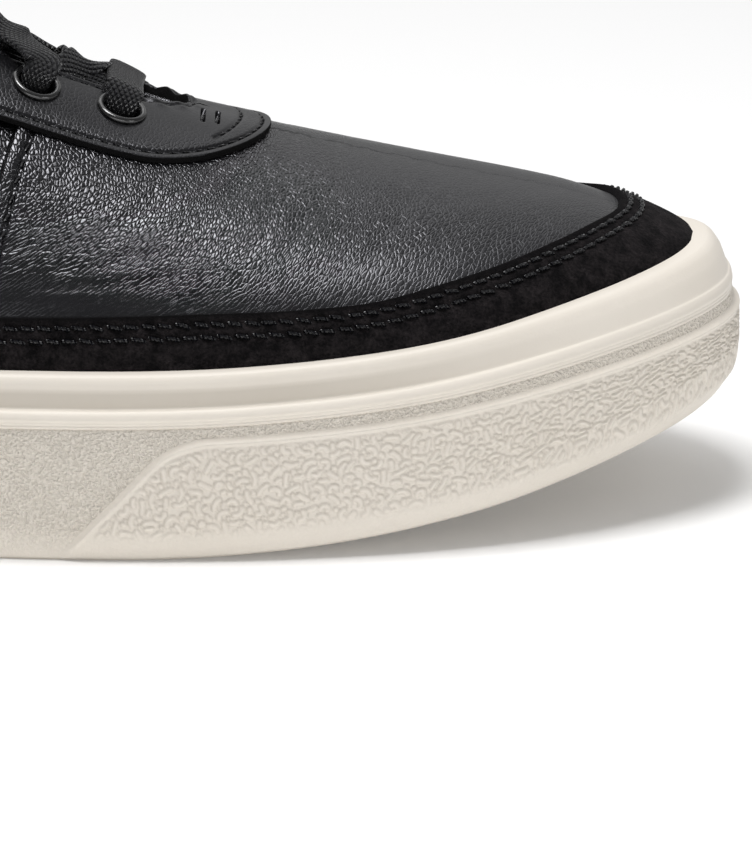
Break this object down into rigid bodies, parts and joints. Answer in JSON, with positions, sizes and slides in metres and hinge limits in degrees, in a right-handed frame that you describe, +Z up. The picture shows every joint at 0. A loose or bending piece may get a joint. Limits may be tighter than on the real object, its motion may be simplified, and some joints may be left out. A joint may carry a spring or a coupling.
{
  "type": "leather sneaker",
  "caption": "Low lace-up leather sneaker for the right foot: hollow leather upper with suede toe guard and eyestay on a ribbed cream rubber cup sole.",
  "frame": {"origin": "middle of the footprint, on the floor under the sole", "axes": "+X from heel to toe, +Y to the inner side of the right foot, +Z up"},
  "size_m": [0.2912, 0.1063, 0.1159],
  "materials": {
    "cream_rubber": "matte moulded rubber, textured at the toe and side",
    "black_lining": "matte black textile",
    "black_leather": "fine pebbled black leather with a soft sheen",
    "black_suede": "matte black suede",
    "black_metal": "black enamelled metal",
    "black_lace": "black woven flat lace"
  },
  "bodies": {
    "root": {"cupsole": "cream_rubber", "insole": "black_lining", "upper": "black_leather", "tongue": "black_leather", "mudguard": "black_suede", "eyestay": "black_leather", "eyelet_outer_1": "black_metal", "eyelet_outer_2": "black_metal", "eyelet_outer_3": "black_metal", "eyelet_outer_4": "black_metal", "eyelet_outer_5": "black_metal", "eyelet_outer_6": "black_metal", "eyelet_inner_1": "black_metal", "eyelet_inner_2": "black_metal", "eyelet_inner_3": "black_metal", "eyelet_inner_4": "black_metal", "eyelet_inner_5": "black_metal", "eyelet_inner_6": "black_metal", "lace_bar": "black_lace", "lace_cross_1": "black_lace", "lace_cross_2": "black_lace", "lace_cross_3": "black_lace", "lace_cross_4": "black_lace", "lace_cross_5": "black_lace"}
  },
  "joints": []
}
